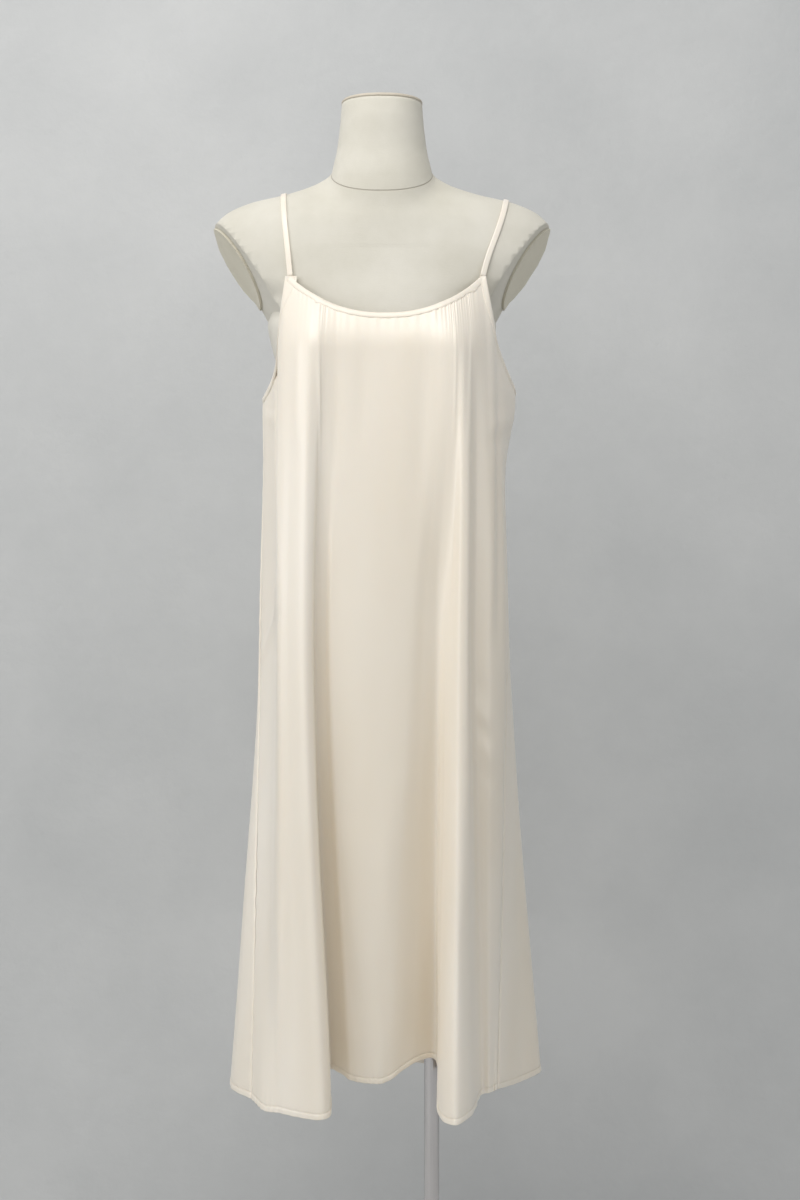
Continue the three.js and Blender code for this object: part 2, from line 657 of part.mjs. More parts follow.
const STRAP_OUTLINE = [
  [-1, -0.4],
  [-0.8, -1],
  [0.8, -1],
  [1, -0.4],
  [1, 0.4],
  [0.8, 1],
  [-0.8, 1],
  [-1, 0.4],
].map(([side, up]) => new THREE.Vector2(side, up));

// ---------------------------------------------------------------- the form

const FORM_HEIGHTS = [
  800, 812, 870, 930, 1000, 1060, 1120, 1170, 1205, 1235, 1262, 1285, 1305, 1325, 1345, 1370, 1395, 1415, 1430,
  1442, 1453, 1464, 1473, 1481, 1488, 1496, 1505, 1520, 1545, 1570, 1584, 1592,
];

function formSolid(curves) {
  const heights = FORM_HEIGHTS.filter((z) => curves === torsoCurves || z <= curves.last);
  const rings = heights.map((z, j) =>
    Array.from({ length: FORM_SIDES }, (_, i) => {
      const angle = (i / FORM_SIDES) * 2 * Math.PI;
      const reach = formReach(z, angle, curves) - (j === 0 ? BOTTOM_ROUNDING : 0);
      return new THREE.Vector3(reach * Math.sin(angle), -reach * Math.cos(angle), z);
    }),
  );
  const outline = rings[0].map(({ x, y }) => new THREE.Vector2(x, y));
  return toSolid(barGeometry(rings, outline));
}

// The round of a plate, as an endless bar along its normal.
function plateRound(plate) {
  const length = 4 * plate.radius;
  const turn = new THREE.Quaternion().setFromUnitVectors(
    new THREE.Vector3(0, 0, 1),
    new THREE.Vector3(...plate.normal).normalize(),
  );
  const bar = wasm.Manifold.cylinder(length, plate.radius, plate.radius, PLATE_SIDES, true);
  const matrix = new THREE.Matrix4().makeRotationFromQuaternion(turn).setPosition(...plate.point);
  return bar.transform(matrix.toArray());
}

function formPieces() {
  const whole = formSolid(torsoCurves);
  const plates = [ARM_PLATE, mirrored(ARM_PLATE)];
  const cut = plates.reduce((solid, plate) => beyondPlane(solid, reversed(plate), 0), whole);
  const trunk = cut.add(formSolid(innerCurves));
  const [left, right] = plates.map((plate) => {
    const beyond = beyondPlane(whole, plate, SEAM_GAP);
    const slab = beyondPlane(beyond, reversed(plate), -SEAM_GAP - plate.thickness);
    return slab.intersect(plateRound(plate));
  });
  const above = beyondPlane(trunk, NECK_SEAM, SEAM_GAP);
  const capPlane = { point: [0, 0, FORM_TOP - CAP_HEIGHT], normal: [0, 0, 1] };
  return {
    form_torso: beyondPlane(trunk, reversed(NECK_SEAM), 0),
    form_neck: beyondPlane(above, reversed(capPlane), 0),
    form_neck_cap: beyondPlane(above, capPlane, SEAM_GAP),
    form_arm_plate_left: left,
    form_arm_plate_right: right,
  };
}

// ---------------------------------------------------------------- the stand

// A solid turned about the upright line through x, from rows of [radius, height].
function turned(rows, x, sides) {
  const geometry = new THREE.LatheGeometry(
    rows.map(([radius, height]) => new THREE.Vector2(radius, height)),
    sides,
  );
  return geometry.rotateX(Math.PI / 2).translate(x, 0, 0);
}

function standGeometries() {
  const flangeBottom = FORM_BOTTOM - SEAM_GAP - FLANGE.height;
  const poleFoot = BASE.height + SEAM_GAP;
  const inner = POLE.radius + SEAM_GAP;
  return {
    base_plate: turned(
      [
        [0, 0],
        [BASE.radius, 0],
        [BASE.radius, BASE.height - BASE.bevel],
        [BASE.radius - BASE.bevel, BASE.height],
        [0, BASE.height],
      ],
      0,
      96,
    ),
    pole: turned(
      [
        [0, poleFoot],
        [POLE.radius, poleFoot],
        [POLE.radius, flangeBottom - SEAM_GAP],
        [0, flangeBottom - SEAM_GAP],
      ],
      POLE.x,
      32,
    ),
    pole_collar: turned(
      [
        [inner, poleFoot],
        [COLLAR.radius, poleFoot],
        [COLLAR.radius, poleFoot + COLLAR.height - BASE.bevel],
        [COLLAR.radius - BASE.bevel, poleFoot + COLLAR.height],
        [inner, poleFoot + COLLAR.height],
        [inner, poleFoot],
      ],
      POLE.x,
      32,
    ),
    pole_flange: turned(
      [
        [0, flangeBottom],
        [FLANGE.radius, flangeBottom],
        [FLANGE.radius, flangeBottom + FLANGE.height],
        [0, flangeBottom + FLANGE.height],
      ],
      POLE.x,
      32,
    ),
  };
}

// ---------------------------------------------------------------- materials and the group

const finish = (color, roughness, metalness) => new THREE.MeshStandardMaterial({ color, roughness, metalness });
const satin = finish(0xf0e8da, 0.35, 0);
const linen = finish(0xd9d5c9, 0.85, 0);
const capCloth = finish(0xd2c6ae, 0.8, 0);
const chrome = finish(0xc9c6c4, 0.15, 1);
const paintedSteel = finish(0xdedbd6, 0.4, 0.2);

const part = new THREE.Group();
function add(name, geometry, material) {
  const mesh = new THREE.Mesh(geometry, material);
  mesh.name = name;
  part.add(mesh);
}

const front = panelGrids(PANELS.front);
const back = panelGrids(PANELS.back);
const armLeft = armStations(front, back);
const armRight = armStations(back, front);
add("dress_front", wallGeometry(front.outer, front.inner), satin);
add("dress_back", wallGeometry(back.outer, back.inner), satin);
add("neck_binding_front", neckBinding(neckStations(front)), satin);
add("neck_binding_back", neckBinding(neckStations(back)), satin);
add("arm_binding_left", armBinding(armLeft), satin);
add("arm_binding_right", armBinding(armRight), satin);
const firstJoint = (stations) => strapJoint(stations[0], stations[1]);
const lastJoint = (stations) => strapJoint(stations.at(-1), stations.at(-2));
add("strap_left", strapGeometry(STRAPS.left, firstJoint(armLeft), lastJoint(armLeft)), satin);
add("strap_right", strapGeometry(STRAPS.right, lastJoint(armRight), firstJoint(armRight)), satin);

for (const [name, solid] of Object.entries(formPieces()))
  add(name, fromSolid(solid), name === "form_neck_cap" ? capCloth : linen);

for (const [name, geometry] of Object.entries(standGeometries()))
  add(name, geometry, name === "base_plate" ? paintedSteel : chrome);

export default part;
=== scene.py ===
"""The look of a satin slip midi dress on a limbless dress form, in metres, in the CAD's frame.

The cloth repeats the construction of the CAD part: a closed tube round the form, through guide lines
that run down its crests and valleys, with a front and a back panel cut out of it. Here the panels are
fine enough to carry gathers, creases, seam puckers and the hem. A place on the tube is (along, level):
the way round it, and the height of the point where the hem hangs at HEM. Tables are in millimetres.
"""
import math

import bmesh
import bpy
import numpy as np
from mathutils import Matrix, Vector


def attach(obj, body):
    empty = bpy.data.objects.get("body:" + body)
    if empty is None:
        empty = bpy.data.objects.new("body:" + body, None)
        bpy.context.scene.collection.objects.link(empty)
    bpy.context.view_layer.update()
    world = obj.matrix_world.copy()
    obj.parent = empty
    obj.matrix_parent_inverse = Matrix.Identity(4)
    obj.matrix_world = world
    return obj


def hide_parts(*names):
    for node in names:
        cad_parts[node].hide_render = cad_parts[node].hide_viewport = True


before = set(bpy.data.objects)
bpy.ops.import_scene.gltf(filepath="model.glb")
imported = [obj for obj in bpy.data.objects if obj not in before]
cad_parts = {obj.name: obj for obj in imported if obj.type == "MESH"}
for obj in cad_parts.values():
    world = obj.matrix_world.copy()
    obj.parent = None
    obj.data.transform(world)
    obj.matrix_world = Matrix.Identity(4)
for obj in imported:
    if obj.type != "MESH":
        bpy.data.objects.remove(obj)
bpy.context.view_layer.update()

MM = 0.001
WALL = 0.7
EDGE_GAP = 0.3
HEM, HIP, BUST_LINE, CHEST = 364, 930, 1268, 1365
EASE = 5.5
BINDING_WIDTH, BINDING_THICKNESS = 7.0, 2.5
STRAP_WIDTH, STRAP_THICKNESS, STRAP_LIFT, STRAP_SETTLES = 7.0, 1.7, 0.6, 45.0
STRAP_PIVOT = 1385
HEM_WIDTH = 7.0
# the finest rows of the skirt, by their height above the hem
HEM_ROWS, HEM_BAND, SKIRT_TOP = (9, 8, 7.4, 6.6, 6, 4, 2, 0.8), 11, 1200

# name, then the place in plan at the bust, the hip and the hem, and the height of the hem there
FOLDS = [
    ("right_seam", -144, 8, -153, 8, -158, -83, 367),
    ("right_side_valley", -129, -50, -131, -47, -139, -122, 363),
    ("right_panel_edge", -122, -98, -124, -115, -119, -138, 364),
    ("right_lobe_face", -105, -118, -110, -127, -97, -153, 363),
    ("right_lobe_crest", -86, -129, -90, -141, -68, -173, 365),
    ("right_lobe_edge", -76, -129, -81, -134, -57, -159, 370),
    ("right_valley", -66, -127, -79, -115, -63, -92, 404),
    ("centre_right_face", -54, -125, -67, -116, -49, -99, 402),
    ("centre_right_crease", -43, -124, -59, -122, -37, -112, 397),
    ("centre_crest", -2, -122, -13, -126, -11, -118, 394),
    ("centre_left_crease", 56, -124, 34, -122, 9, -112, 396),
    ("centre_left_face", 74, -126, 52, -113, 41, -88, 412),
    ("left_valley", 84, -126, 67, -108, 66, -66, 409),
    ("left_lobe_back", 91, -125, 80, -118, 67, -128, 363),
    ("left_lobe_crest", 98, -122, 93, -133, 86, -174, 359),
    ("left_lobe_edge", 105, -117, 104, -130, 106, -149, 364),
    ("left_side_valley", 114, -109, 112, -108, 121, -60, 366),
    ("left_side_swell", 126, -94, 132, -99, 131, -57, 368),
    ("left_panel_edge", 141, -68, 149, -72, 137, -49, 368),
    ("left_seam", 148, -5, 154, -38, 143, -43, 369),
    ("left_flare_face", 147, 22, 159, 2, 173, 10, 365),
    ("left_flare_edge", 138, 48, 157, 46, 203, 68, 365),
    ("back_left_turn", 119, 74, 137, 86, 190, 118, 362),
    ("back_left_valley", 91, 91, 106, 96, 152, 127, 360),
    ("back_left_lobe", 62, 98, 74, 115, 118, 158, 358),
    ("back_left_hollow", 30, 101, 40, 108, 84, 129, 357),
    ("back_middle_lobe", 4, 102, 8, 120, 42, 151, 357),
    ("back_middle_hollow", -24, 101, -22, 109, 4, 127, 357),
    ("back_right_lobe", -54, 99, -56, 117, -38, 160, 357),
    ("back_right_hollow", -82, 93, -88, 103, -78, 130, 359),
    ("back_right_swell", -106, 81, -112, 104, -112, 149, 361),
    ("back_right_valley", -124, 64, -131, 80, -146, 111, 363),
    ("back_right_turn", -137, 44, -146, 62, -176, 96, 365),
    ("right_flare_edge", -143, 28, -153, 34, -189, 35, 366),
    ("right_flare_face", -144, 18, -153, 20, -185, -28, 366),
]
NAMES = [fold[0] for fold in FOLDS]

# name: seam, underarm level, strap x, strap level
ARMHOLES = {
    "front_right": ("right_seam", 1222, -116, 1363),
    "front_left": ("left_seam", 1229, 126, 1363),
    "back_left": ("left_seam", 1229, 98, 1325),
    "back_right": ("right_seam", 1222, -92, 1325),
}
ARMHOLE_BEND = (0.75, 0.25)
NECK_POWER = 2.3
DIP_DEPTH, DIP_REACH = 24, 35

# z, half width, reach forwards, reach backwards
TORSO = [
    (800, 124, 82, 86), (850, 134, 87, 92), (930, 135, 87, 92), (1000, 126, 82, 84),
    (1080, 113, 76, 72), (1150, 116, 84, 74), (1210, 122, 97, 80), (1262, 129, 106, 86),
    (1292, 138, 101, 89), (1311, 145, 97, 90), (1339, 158, 90, 90), (1365, 195, 82, 88),
    (1400, 222, 74, 82), (1425, 217, 67, 75), (1438, 208, 62, 70), (1452, 193, 53, 61),
    (1464, 166, 43, 52), (1475, 121, 32, 40), (1486, 86, 22, 28), (1494, 66, 12, 16),
    (1503, 40, 5, 6),
]
SIDES_UNDER_PLATES = [
    (1292, 138, 101, 89), (1311, 142, 96, 88), (1325, 138, 88, 80), (1337, 124, 76, 66),
    (1345, 98, 60, 45),
]
NECK = [
    (1400, 46, 46, 56), (1440, 62, 60, 68), (1470, 67, 64, 70), (1490, 65, 62, 68),
    (1505, 62, 59, 65), (1514, 60, 57, 62), (1526, 57, 55, 59), (1539, 55, 54, 56),
    (1564, 52, 53, 51), (1577, 51, 51, 49), (1588, 50, 49, 48), (1592, 47, 46, 45),
]
SECTION_POWER, JOIN_POWER = 2.25, 6
BUST_X, BUST_Z, BUST_REACH, BUST_OUT = 78, 1258, 44, 11
ARM_PLATE_POINT, ARM_PLATE_NORMAL = (183, 22, 1386), (0.828, -0.23, -0.512)
NECK_SEAM_POINT, NECK_SEAM_NORMAL = (0, 0, 1505), (0, -0.49, 0.872)
CAP_SEAM = 1588

# soft folds and creases: x and level where each starts and ends, its width and how far it stands out
CREASES = [
    (-124, 1000, -152, 892, 7, 3.2), (-118, 960, -136, 900, 6, -1.6), (-146, 925, -151, 890, 4, 1.6),
    (-75, 1290, -71, 1110, 9, 1.2), (-58, 1285, -52, 1120, 11, -1.2), (20, 1270, 22, 1040, 12, 0.9),
    (48, 1290, 46, 1100, 8, -1.0), (-20, 1280, -26, 1150, 10, -0.8), (88, 1300, 86, 1150, 9, 0.8),
    (104, 1290, 101, 1160, 9, -0.8), (-96, 1300, -101, 1150, 9, 0.8), (112, 850, 132, 815, 5, 1.8),
    (114, 826, 134, 792, 5, -1.5), (116, 800, 136, 770, 5, 1.7), (118, 772, 134, 742, 5, -1.3),
    (114, 880, 126, 850, 5, -1.2), (130, 1180, 150, 1196, 7, 1.8), (128, 1160, 149, 1168, 6, -1.5),
    (-128, 1190, -146, 1200, 7, 1.4), (-40, 700, -22, 470, 16, 1.6), (-4, 640, 6, 430, 14, -1.5),
    (20, 760, -4, 500, 18, 1.4), (-104, 700, -98, 420, 12, -1.4), (-118, 620, -122, 400, 9, 1.6),
    (100, 620, 104, 420, 8, -1.2), (92, 760, 90, 560, 9, 1.2), (150, 870, 162, 872, 4, -0.9),
    (152, 772, 164, 774, 4, -0.9), (-127, 1335, -128, 960, 6, -4.5), (-121, 1330, -122, 985, 5, 1.6),
    (138, 1320, 140, 900, 7, -3.6), (131, 1310, 133, 930, 6, 1.4),
]


# ------------------------------------------------------------------ curves

class Monotone:
    """A monotone cubic through (xs, ys), where ys may have a row for each of several curves."""

    def __init__(self, xs, ys):
        self.x = np.asarray(xs, float)
        self.y = np.atleast_2d(np.asarray(ys, float))
        h = np.diff(self.x)
        slope = np.diff(self.y, axis=1) / h
        tangent = np.empty_like(self.y)
        tangent[:, 0], tangent[:, -1] = slope[:, 0], slope[:, -1]
        for i in range(1, len(self.x) - 1):
            before, after = 2 * h[i] + h[i - 1], h[i] + 2 * h[i - 1]
            a, b = slope[:, i - 1], slope[:, i]
            same = a * b > 0
            a, b = np.where(same, a, 1.0), np.where(same, b, 1.0)
            tangent[:, i] = np.where(same, (before + after) / (before / a + after / b), 0.0)
        self.h, self.tangent = h, tangent

    def __call__(self, x, which=0):
        x = np.clip(x, self.x[0], self.x[-1])
        i = np.clip(np.searchsorted(self.x, x, side="right") - 1, 0, len(self.h) - 1)
        h = self.h[i]
        t = (x - self.x[i]) / h
        return (
            self.y[which, i] * (1 + 2 * t) * (1 - t) ** 2
            + h * self.tangent[which, i] * t * (1 - t) ** 2
            + self.y[which, i + 1] * t * t * (3 - 2 * t)
            + h * self.tangent[which, i + 1] * t * t * (t - 1)
        )


def unit(v):
    return v / np.maximum(np.linalg.norm(v, axis=-1, keepdims=True), 1e-12)


def mix(a, b, t):
    return a + (b - a) * t


# ------------------------------------------------------------------ the form's surface

class Sections:
    def __init__(self, rows):
        z, half, front, back = np.array(rows, float).T
        self.first, self.last = z[0], z[-1]
        self.half, self.front, self.back = Monotone(z, half), Monotone(z, front), Monotone(z, back)

    def reach(self, z, angle):
        across = np.abs(np.sin(angle)) / self.half(z)
        ahead = np.abs(np.cos(angle)) / np.where(np.cos(angle) > 0, self.front(z), self.back(z))
        reach = (across**SECTION_POWER + ahead**SECTION_POWER) ** (-1 / SECTION_POWER)
        return np.where((z < self.first) | (z > self.last), 0.0, reach)


torso_sections = Sections(TORSO)
neck_sections = Sections(NECK)
inner_sections = Sections([row for row in TORSO if row[0] < SIDES_UNDER_PLATES[0][0]] + SIDES_UNDER_PLATES)


def form_reach(z, angle, sections=torso_sections):
    torso, neck = sections.reach(z, angle), neck_sections.reach(z, angle)
    reach = (torso**JOIN_POWER + neck**JOIN_POWER) ** (1 / JOIN_POWER)
    beside = np.hypot(np.abs(reach * np.sin(angle)) - BUST_X, z - BUST_Z) / BUST_REACH
    return reach + np.where(np.cos(angle) > 0, BUST_OUT * np.exp(-(beside**2)), 0.0)


def form_depth(x, z, ahead):
    inside, outside = 0.0, 400.0
    for _ in range(30):
        depth = (inside + outside) / 2
        angle = math.atan2(x, depth if ahead else -depth)
        if math.hypot(x, depth) < form_reach(float(z), angle) + EASE:
            inside = depth
        else:
            outside = depth
    return -inside if ahead else inside


# ------------------------------------------------------------------ the cloth's surface

plan = np.array([fold[1:] for fold in FOLDS], float)
chest_x = plan[:, 0] * 0.95
chest_y = np.array([
    form_depth(x, CHEST, y < 0) if abs(bust_x) < 132 else y
    for x, bust_x, y in zip(chest_x, plan[:, 0], plan[:, 1])
])
LEVELS = [HEM, HIP, BUST_LINE, CHEST]
guide_x = Monotone(LEVELS, np.stack([plan[:, 4], plan[:, 2], plan[:, 0], chest_x], 1))
guide_y = Monotone(LEVELS, np.stack([plan[:, 5], plan[:, 3], plan[:, 1], chest_y], 1))
drop = (HIP - plan[:, 6]) / (HIP - HEM)
spans = sum(np.hypot(*(np.roll(plan[:, k:k + 2], -1, 0) - plan[:, k:k + 2]).T) for k in (0, 2, 4)) / 3
starts = np.concatenate([[0], np.cumsum(spans)])
GIRTH = starts[-1]
COUNT = len(FOLDS)


def along_of(name):
    return starts[NAMES.index(name)]


def tube(along, level):
    along, level = np.broadcast_arrays(np.asarray(along, float), np.asarray(level, float))
    wrapped = np.mod(along, GIRTH)
    i = np.clip(np.searchsorted(starts, wrapped, side="right") - 1, 0, COUNT - 1)
    points, knots = [], []
    for k in (-1, 0, 1, 2):
        guide = (i + k) % COUNT
        z = np.where(level > HIP, level, HIP + (level - HIP) * drop[guide])
        points.append(np.stack([guide_x(level, guide), guide_y(level, guide), z], -1))
        knots.append(starts[guide] + GIRTH * np.floor_divide(i + k, COUNT))
    span = knots[2] - knots[1]
    leaving = (points[2] - points[0]) * (span / (knots[2] - knots[0]))[..., None]
    arriving = (points[3] - points[1]) * (span / (knots[3] - knots[1]))[..., None]
    t = ((wrapped - knots[1]) / span)[..., None]
    return (
        points[1] * (1 + 2 * t) * (1 - t) ** 2
        + leaving * t * (1 - t) ** 2
        + points[2] * t * t * (3 - 2 * t)
        + arriving * t * t * (t - 1)
    )


def outwards(along, level, reach=2.5):
    around = tube(along + reach, level) - tube(along - reach, level)
    up = tube(along, level + reach) - tube(along, level - reach)
    return unit(np.cross(around, up))


def beside(along, name):
    away = along - along_of(name)
    return away - GIRTH * np.round(away / GIRTH)


def place_at(x, level, ahead=True):
    """The way round the tube where its front, or back, crosses x."""
    seam = along_of("left_seam")
    tries = np.linspace(0, seam, 1200) if ahead else np.linspace(seam, GIRTH, 1200)
    return tries[np.argmin(np.abs(tube(tries, level)[:, 0] - x))]


crease_places = [
    (place_at(x1, l1), l1, place_at(x2, l2), l2, width, out) for x1, l1, x2, l2, width, out in CREASES
]
# the hidden back has creases like the front's
crease_places += [
    (GIRTH - a1 * 0.96, l1 - 14, GIRTH - a2 * 0.96, l2 - 14, width * 1.2, out * 0.8)
    for a1, l1, a2, l2, width, out in crease_places[3:26:2]
]


def relief(along, level):
    """How far the cloth stands out from the smooth tube."""
    away = beside(along, "left_seam")
    out = 17 * np.exp(-((away / 26) ** 2) - ((level - 1222) / 62) ** 2)
    away = beside(along, "right_seam")
    out = out + 3 * np.exp(-((away / 26) ** 2) - ((level - 1216) / 50) ** 2)
    for a1, l1, a2, l2, width, depth in crease_places:
        run = np.array([a2 - a1, l2 - l1])
        length = np.hypot(*run)
        share = ((along - a1) * run[0] + (level - l1) * run[1]) / length**2
        across = ((along - a1) * run[1] - (level - l1) * run[0]) / length
        ends = np.clip(share, 0, 1) * np.clip(1 - share, 0, 1) * 4
        out = out + depth * np.exp(-((across / width) ** 2)) * ends**0.7
    # slow unevenness of the whole cloth
    out = out + 0.5 * np.sin(along / 31 + level / 143) * np.sin(level / 97 + 1.3)
    out = out + 0.35 * np.sin(along / 17 - level / 211 + 2.1) * np.sin(level / 61 + along / 73)
    # the side seams pucker
    for name, phase in (("right_seam", 0.4), ("left_seam", 2.0)):
        near = np.exp(-((beside(along, name) / 7) ** 2)) * np.clip((1190 - level) / 60, 0, 1)
        out = out + near * 0.6 * np.sin(level / 4.6 + phase) * np.sin(level / 57 + phase)
        out = out - 1.5 * np.exp(-((beside(along, name) / 2.2) ** 2)) * (level < 1225)
    return out


def gathers(along, below, x):
    """Fine gathers hang from the neck binding, most at the wearer's left."""
    fade = np.exp(-np.clip(below, 0, None) / 17)
    amount = 0.25 + 0.75 * np.exp(-(((x - 70) / 42) ** 2)) + 0.3 * np.exp(-(((x + 80) / 25) ** 2))
    waves = np.sin(along / 1.55 + 1.7 * np.sin(along / 11)) + 0.6 * np.sin(along / 2.9 + 1.0)
    return 0.62 * amount * fade * waves


def cloth(along, level, depth=0.0, extra=0.0):
    out = relief(along, level) + extra - depth
    return tube(along, level) + outwards(along, level) * out[..., None]


# ------------------------------------------------------------------ the panels' outlines

def along_at(x, level, start, end):
    near, far = start, end
    side = tube(start, level)[0] > x
    for _ in range(30):
        middle = (near + far) / 2
        if (tube(middle, level)[0] > x) == side:
            near = middle
        else:
            far = middle
    return near


class Panel:
    def __init__(self, first, last, start, end, middle_x, level):
        self.first, self.last = ARMHOLES[first], ARMHOLES[last]
        self.start, self.end, self.middle_x, self.level = start, end, middle_x, level
        middle = along_at(middle_x, level, start, end)
        self.first_strap = along_at(self.first[2], self.first[3], middle, start)
        self.last_strap = along_at(self.last[2], self.last[3], middle, end)
        self.half_width = abs(self.last[2] - self.first[2]) / 2

    def armhole(self, share, last=False):
        _, under, _, top = self.last if last else self.first
        seam, strap = (self.end, self.last_strap) if last else (self.start, self.first_strap)
        bend = 2 * share * (1 - share)
        return (
            mix(seam, strap, bend * ARMHOLE_BEND[0] + share**2),
            mix(under, top, bend * ARMHOLE_BEND[1] + share**2),
        )

    def bodice(self, across, share):
        first, last = self.armhole(share), self.armhole(share, True)
        along = mix(first[0], last[0], across)
        to_edge = np.minimum(across, 1 - across) * (last[0] - first[0])
        inner = 1 - (1 - np.minimum(to_edge / DIP_REACH, 1)) ** 2
        level = mix(first[1], last[1], across) - DIP_DEPTH * inner * (1 - share)
        strap = mix(self.first[3], self.last[3], across)
        x = tube(along, np.full_like(along, self.level))[..., 0]
        away = np.minimum(np.abs(x - self.middle_x) / self.half_width, 1)
        neck = mix(self.level, self.first[3], away**NECK_POWER)
        return along, level - (strap - neck) * share**2

    def skirt(self, across, fall):
        """fall is 0 at the foot of the bodice and 1 at the hem."""
        along, top = self.bodice(across, np.zeros_like(across))
        flat = mix(self.start, self.end, across)
        return mix(along, flat, fall), mix(top, HEM, fall)


FRONT = Panel("front_right", "front_left", along_of("right_seam"), along_of("left_seam"), 5, 1313)
BACK = Panel("back_left", "back_right", along_of("left_seam"), GIRTH, 3, 1288)


# ------------------------------------------------------------------ meshes

def make(name, points, faces):
    mesh = bpy.data.meshes.new(name)
    mesh.from_pydata([tuple(p) for p in np.asarray(points).reshape(-1, 3) * MM], [], faces)
    mesh.update()
    mesh.polygons.foreach_set("use_smooth", [True] * len(mesh.polygons))
    obj = bpy.data.objects.new(name, mesh)
    bpy.context.scene.collection.objects.link(obj)
    return obj


def grid_faces(rows, columns, closed=False):
    last = columns if closed else columns - 1
    faces = []
    for j in range(rows - 1):
        near, far = j * columns, (j + 1) * columns
        for i in range(last):
            following = (i + 1) % columns
            faces.append((near + i, far + i, far + following, near + following))
    return faces


def panel_object(name, panel, columns, bodice_rows, skirt_rows):
    across = np.linspace(0, 1, columns)
    rows = [panel.bodice(across, np.full(columns, share)) for share in np.linspace(1, 0, bodice_rows)]
    falls = np.linspace(0, 1, skirt_rows)[1:]
    hem_rows = 1 - np.array(HEM_ROWS) / (SKIRT_TOP - HEM)
    above_hem = falls[falls < 1 - HEM_BAND / (SKIRT_TOP - HEM)]
    falls = np.sort(np.concatenate([above_hem, hem_rows, [1.0]]))
    rows += [panel.skirt(across, np.full(columns, fall)) for fall in falls]
    along = np.array([row[0] for row in rows])
    level = np.array([row[1] for row in rows])
    x = tube(along, level)[..., 0]
    below = level[:1] - level
    extra = gathers(along, below, x)
    # the hem is turned up and stitched: a groove along the stitches, and puckers that reach above it
    above = level - HEM
    groove = -0.45 * np.exp(-(((above - HEM_WIDTH) / 0.9) ** 2)) + 0.35 * (above < HEM_WIDTH - 0.5)
    pucker = np.sin(along / 2.3 + 1.4 * np.sin(along / 19)) * np.exp(-np.clip(above - 3, 0, None) / 7)
    extra = extra + groove + 0.4 * pucker
    points = cloth(along, level, 0.0, extra)
    inward = unit(points[:, 1] - points[:, 0]) * EDGE_GAP / 2
    points[:, 0] += inward
    points[:, -1] += unit(points[:, -2] - points[:, -1]) * EDGE_GAP / 2
    obj = make(name, points, grid_faces(len(rows), columns))
    thick = obj.modifiers.new("wall", "SOLIDIFY")
    thick.thickness = WALL * MM
    thick.offset = -1
    return obj


def bar(name, stations):
    """A closed bar through stations, each a ring of points."""
    count, sides = stations.shape[:2]
    faces = [tuple(reversed(face)) for face in grid_faces(count, sides, closed=True)]
    faces.append(tuple(range(sides)))
    faces.append(tuple(reversed(range((count - 1) * sides, count * sides))))
    obj = make(name, stations, faces)
    fixed = bmesh.new()
    fixed.from_mesh(obj.data)
    bmesh.ops.recalc_face_normals(fixed, faces=fixed.faces)
    fixed.to_mesh(obj.data)
    fixed.free()
    return obj


def rounded(count, power=3.2):
    """A rounded rectangle of half width 1 and half height 1."""
    angle = np.arange(count) / count * 2 * np.pi
    c, s = np.cos(angle), np.sin(angle)
    return np.stack([np.sign(c) * np.abs(c) ** (2 / power), np.sign(s) * np.abs(s) ** (2 / power)], 1)


def inner_places(along, level, distance):
    """Places a distance in from an edge that is walked with the cloth on the right."""
    step = 0.5
    a = (tube(along + step, level) - tube(along - step, level)) / (2 * step)
    b = (tube(along, level + step) - tube(along, level - step)) / (2 * step)
    ahead = unit(np.gradient(tube(along, level), axis=0))
    into = np.cross(ahead, outwards(along, level))
    rate = lambda way: (into * way).sum(-1) / (way * way).sum(-1)
    return along + distance * rate(a), level + distance * rate(b)


def binding(name, along, level):
    outline = rounded(20)
    in_along, in_level = inner_places(along, level, BINDING_WIDTH)
    u = (outline[:, 0] + 1) / 2 * 1.14 - 0.14
    out = outline[:, 1] * BINDING_THICKNESS / 2
    # a stitched groove lies near the inner edge
    out = np.where((u > 0.78) & (u < 0.9), out * 0.82, out)
    places = (
        along[:, None] + (in_along - along)[:, None] * u,
        level[:, None] + (in_level - level)[:, None] * u,
    )
    wave = 0.16 * np.sin(np.arange(len(along)) * 1.1)[:, None] * (u > 0.2)
    stations = cloth(places[0], places[1], WALL / 2 - out[None, :] - wave)
    return bar(name, stations), (in_along, in_level)


def stitches(name, along, level, pitch, length, radius, out):
    """A row of short threads that lies on the cloth along a line of places."""
    points = cloth(along, level, -out)
    steps = np.concatenate([[0], np.cumsum(np.linalg.norm(np.diff(points, axis=0), axis=1))])
    centres = np.arange(pitch, steps[-1] - pitch / 2, pitch)
    at = lambda d: np.stack([np.interp(d, steps, points[:, k]) for k in range(3)], 1)
    middle = at(centres)
    ahead = unit(at(centres + length / 2) - at(centres - length / 2))
    normal = outwards(np.interp(centres, steps, along), np.interp(centres, steps, level))
    side = unit(np.cross(normal, ahead))
    ring = [(-0.5, 0, 0), (-0.28, 1, 0), (-0.28, 0, 1), (-0.28, -1, 0), (-0.28, 0, -1),
            (0.28, 1, 0), (0.28, 0, 1), (0.28, -1, 0), (0.28, 0, -1), (0.5, 0, 0)]
    verts = np.stack([
        middle + ahead * (l * length) + side * (s * radius) + normal * (n * radius) for l, s, n in ring
    ], 1)
    faces = []
    for k in range(len(centres)):
        b = 10 * k
        for i in range(4):
            j = (i + 1) % 4
            faces += [
                (b, b + 1 + i, b + 1 + j),
                (b + 1 + i, b + 5 + i, b + 5 + j, b + 1 + j),
                (b + 9, b + 5 + j, b + 5 + i),
            ]
    return make(name, verts, faces)


